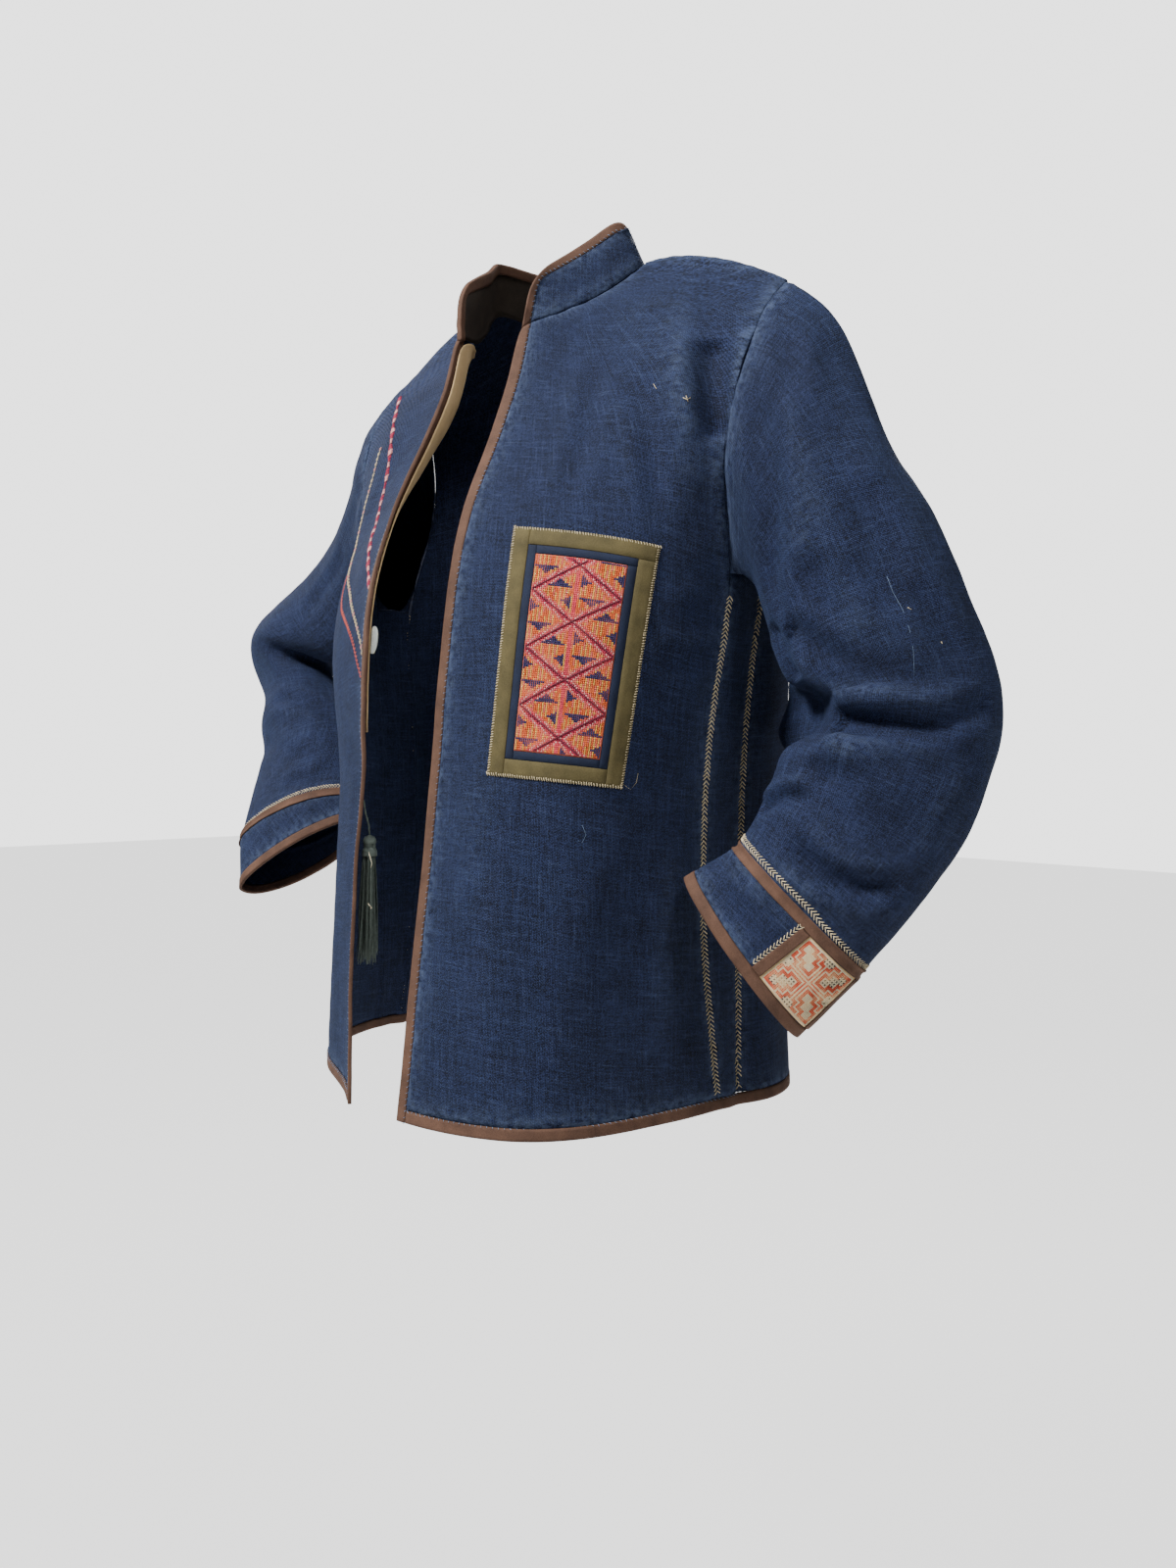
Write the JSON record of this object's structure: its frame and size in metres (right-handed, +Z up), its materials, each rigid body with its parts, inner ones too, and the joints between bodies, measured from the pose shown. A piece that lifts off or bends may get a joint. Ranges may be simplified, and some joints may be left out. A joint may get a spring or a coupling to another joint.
{
  "type": "embroidered jacket",
  "caption": "Short indigo hemp jacket worn open, with stand collar, brown bound edges, side panels, bent set-in sleeves, a framed embroidered chest patch, cuff patches and a tassel.",
  "frame": {"origin": "middle of the neck base, level with the neck ends of the two shoulder seams, where the wearer carries the jacket", "axes": "+Z up, +X to the wearer's left, -Y to the wearer's front"},
  "size_m": [0.7855, 0.3224, 0.6565],
  "materials": {
    "brown_tape": "brown bias tape with a soft sheen",
    "coral_weave": "coral and cream woven cotton",
    "cream_cotton": "cream cotton",
    "dark_brown_cotton": "dark brown cotton",
    "embroidered_cotton": "cross-stitched cotton in orange, pink and navy",
    "indigo_hemp": "coarse plain-weave indigo hemp",
    "navy_cotton": "navy cotton",
    "olive_cotton": "olive cotton strips with an overlocked edge",
    "clear_plastic": "clear press stud",
    "grey_yarn": "grey-green yarn"
  },
  "bodies": {
    "root": {"back": "indigo_hemp", "binding_collar": "brown_tape", "binding_cuff_left": "brown_tape", "binding_cuff_right": "brown_tape", "binding_front_left": "brown_tape", "binding_front_right": "brown_tape", "binding_hem": "brown_tape", "collar": "indigo_hemp", "collar_facing": "dark_brown_cotton", "cuff_left": "indigo_hemp", "cuff_patch_left": "coral_weave", "cuff_patch_right": "coral_weave", "cuff_right": "indigo_hemp", "cuff_tape_left": "brown_tape", "cuff_tape_right": "brown_tape", "facing_right": "cream_cotton", "front_left": "indigo_hemp", "front_right": "indigo_hemp", "patch_border": "navy_cotton", "patch_frame": "olive_cotton", "patch_panel": "embroidered_cotton", "patch_tape_high_left": "brown_tape", "patch_tape_high_right": "brown_tape", "patch_tape_low_left": "brown_tape", "patch_tape_low_right": "brown_tape", "press_stud_left": "clear_plastic", "press_stud_right": "clear_plastic", "side_panel_left": "indigo_hemp", "side_panel_right": "indigo_hemp", "sleeve_left": "indigo_hemp", "sleeve_right": "indigo_hemp", "tassel": "grey_yarn"}
  },
  "joints": []
}
